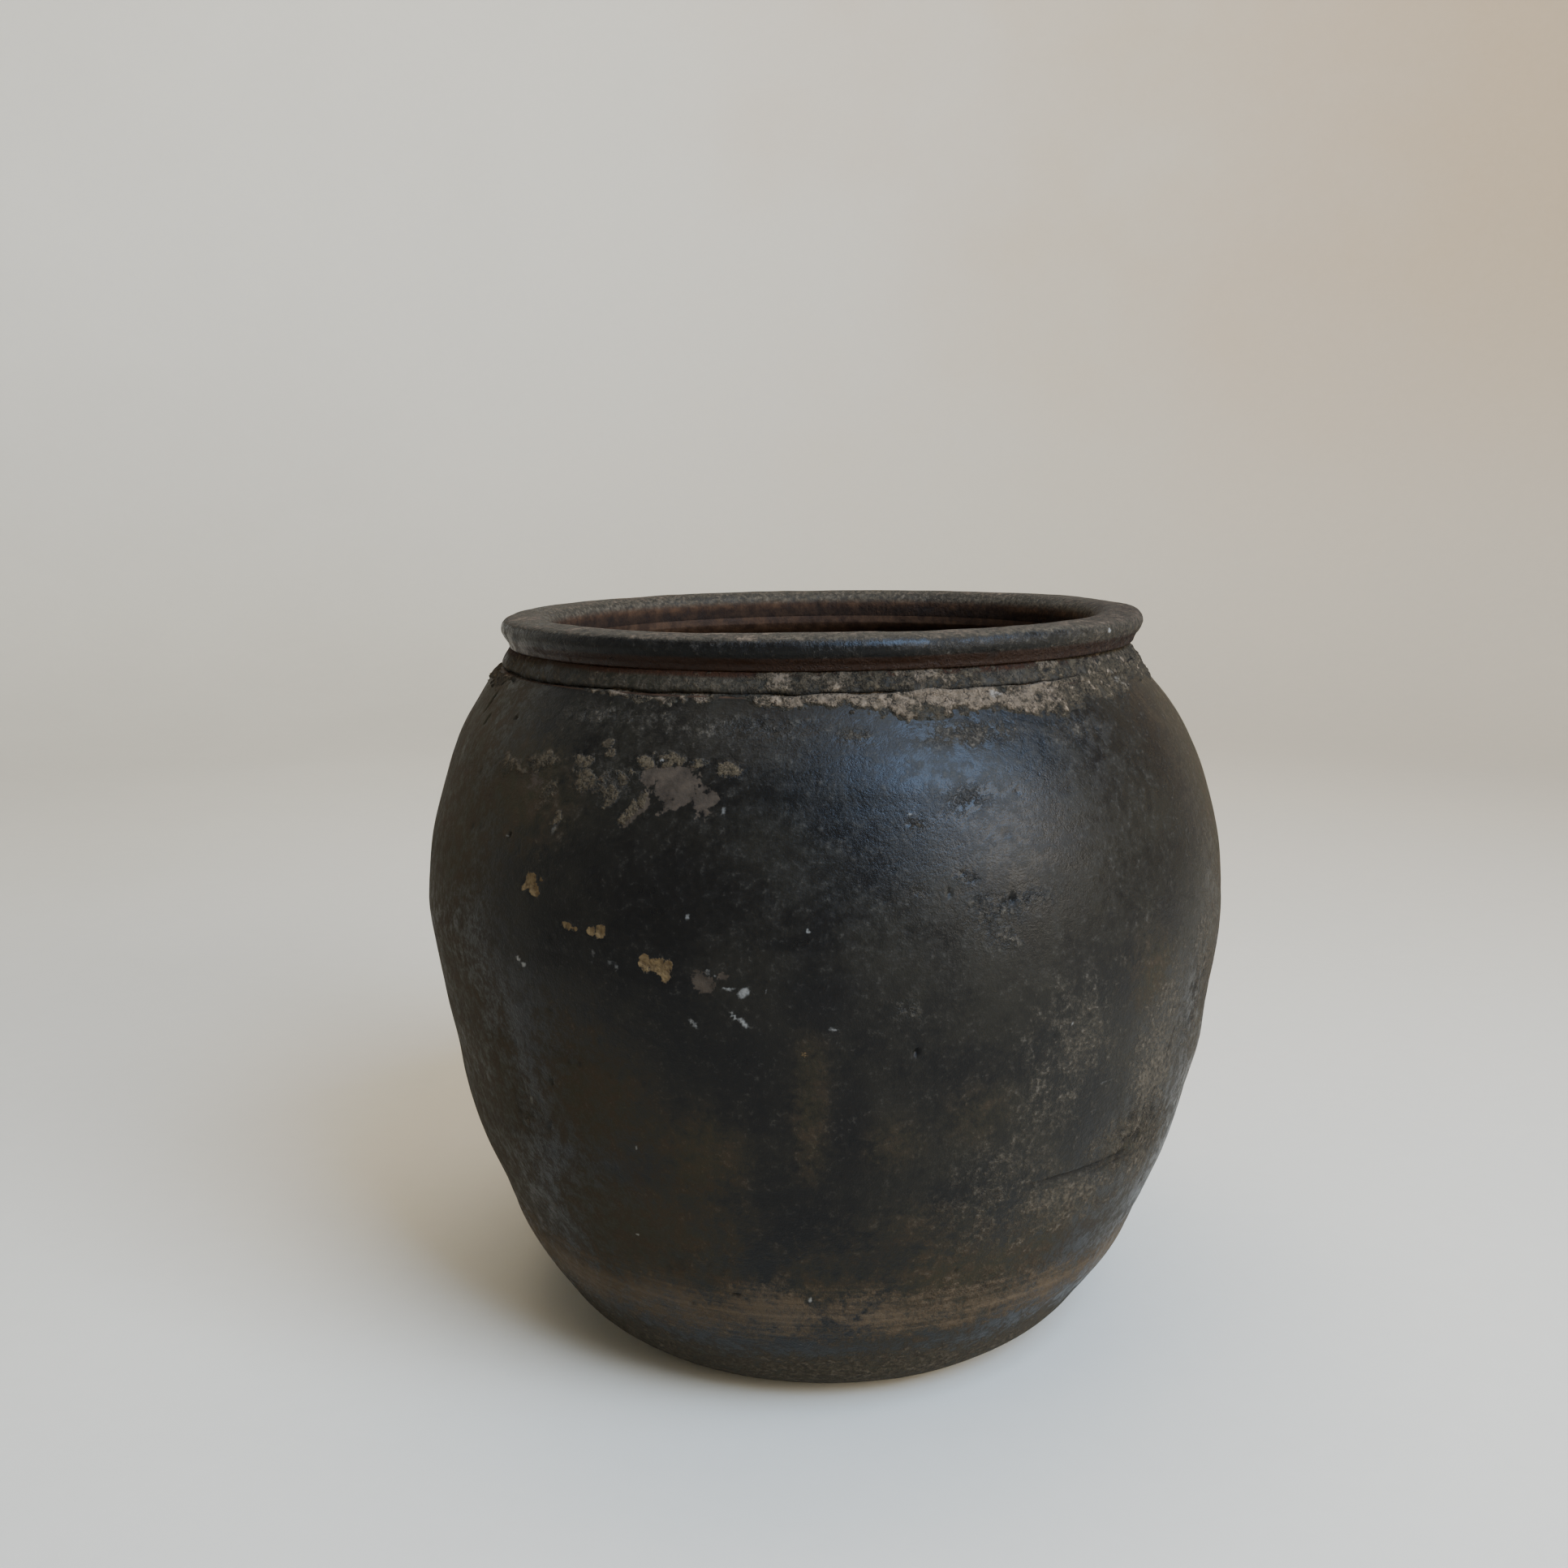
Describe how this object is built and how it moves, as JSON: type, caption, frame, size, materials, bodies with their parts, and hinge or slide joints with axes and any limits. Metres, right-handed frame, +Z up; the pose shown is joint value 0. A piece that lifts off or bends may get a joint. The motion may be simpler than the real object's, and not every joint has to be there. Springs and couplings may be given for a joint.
{
  "type": "black clay pot",
  "caption": "Wide round-bellied black clay jar with a flat foot, a closed-in shoulder, a coiled collar and a rolled open lip, for holding water, grain or a plant.",
  "frame": {"origin": "middle of the flat foot, on the surface that the pot stands on", "axes": "+Z up along the pot's turning axis; -Y towards the front, and +X to the right as seen from the front"},
  "size_m": [0.4198, 0.4198, 0.3762],
  "materials": {
    "body_clay": "satin",
    "foot_clay": "matte",
    "luting_clay": "matte",
    "collar_clay": "matte",
    "lip_clay": "satin"
  },
  "bodies": {
    "root": {"base_slab": "foot_clay", "foot_course": "body_clay", "lower_course": "body_clay", "middle_course": "body_clay", "belly_course": "body_clay", "upper_course": "body_clay", "shoulder_course": "body_clay", "neck_luting": "luting_clay", "neck_collar": "collar_clay", "rim_lip": "lip_clay"}
  },
  "joints": []
}
